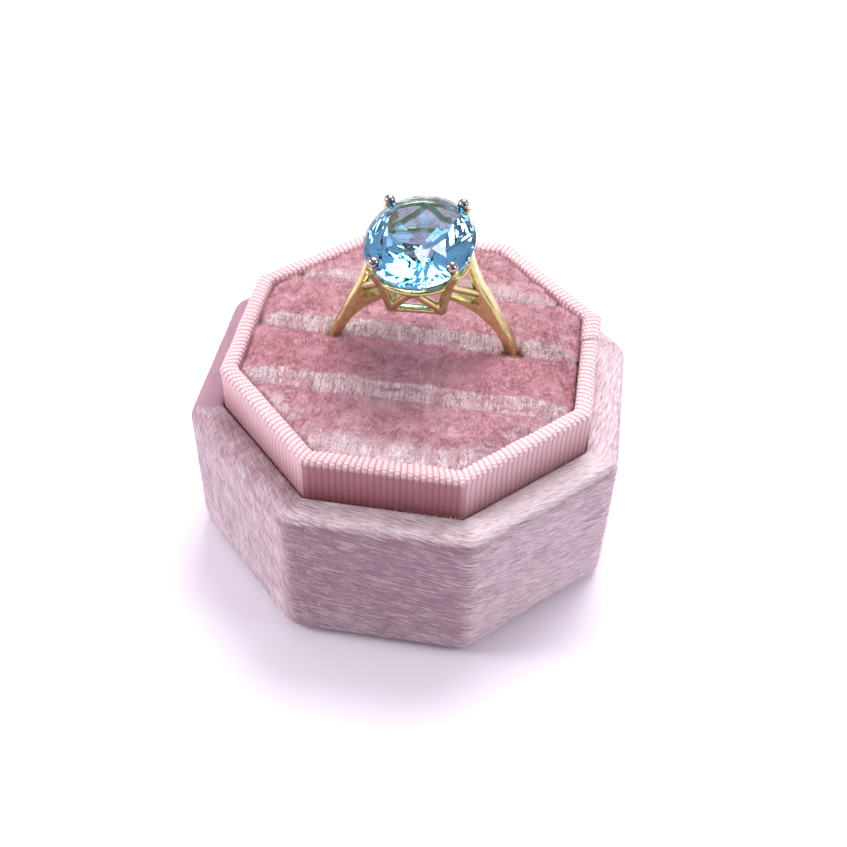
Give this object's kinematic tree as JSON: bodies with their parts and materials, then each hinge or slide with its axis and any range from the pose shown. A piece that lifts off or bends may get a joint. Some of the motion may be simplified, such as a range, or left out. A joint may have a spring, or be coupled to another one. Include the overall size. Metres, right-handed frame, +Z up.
{
  "type": "ring box",
  "caption": "Octagonal velvet ring box without its lid: ribbon-trimmed collar, slotted roll cushion that lifts out, and a ring with an oval faceted stone standing in a slot.",
  "frame": {"origin": "centre of the underside, on the surface the box stands on", "axes": "+Z up, X along the cushion rolls and slots, front towards -Y, right-handed"},
  "size_m": [0.05, 0.05, 0.0419],
  "materials": {
    "outer_velvet": "short pile velvet, nap lying sideways, soft sheen",
    "cushion_velvet": "short pile velvet, a darker rose, bright where the pile turns",
    "ribbon": "ribbed grosgrain, satin",
    "lining_felt": "thin pressed felt, matte",
    "greyboard": "raw greyboard, matte",
    "gummed_paper": "brown gummed paper, matte",
    "foam": "fine cell foam, matte",
    "gold": "polished yellow metal, gold plated",
    "white_metal": "polished white plating",
    "stone_blue": "faceted clear blue stone"
  },
  "bodies": {
    "base": {"bottom_cover": "lining_felt", "outer_velvet": "outer_velvet", "outer_wall": "greyboard", "wall_joint_tape": "gummed_paper", "base_board": "greyboard", "collar_board": "greyboard", "collar_joint_tape": "gummed_paper", "ribbon_trim": "ribbon", "riser_block": "foam"},
    "insert": {"insert_card": "greyboard", "roll_foam_front": "foam", "roll_foam_mid_front": "foam", "roll_foam_mid_back": "foam", "roll_foam_back": "foam", "roll_velvet_front": "cushion_velvet", "roll_velvet_mid_front": "cushion_velvet", "roll_velvet_mid_back": "cushion_velvet", "roll_velvet_back": "cushion_velvet"},
    "ring": {"ring_shank": "gold", "ring_basket": "gold", "claw_tips": "white_metal", "gemstone": "stone_blue"}
  },
  "joints": [
    {"name": "insert_lift", "type": "slide", "parent": "base", "child": "insert", "axis": [0, 0, 1], "range_m": [0, 0.03]},
    {"name": "ring_lift", "type": "slide", "parent": "insert", "child": "ring", "axis": [0, 0, 1], "range_m": [0, 0.025]}
  ]
}
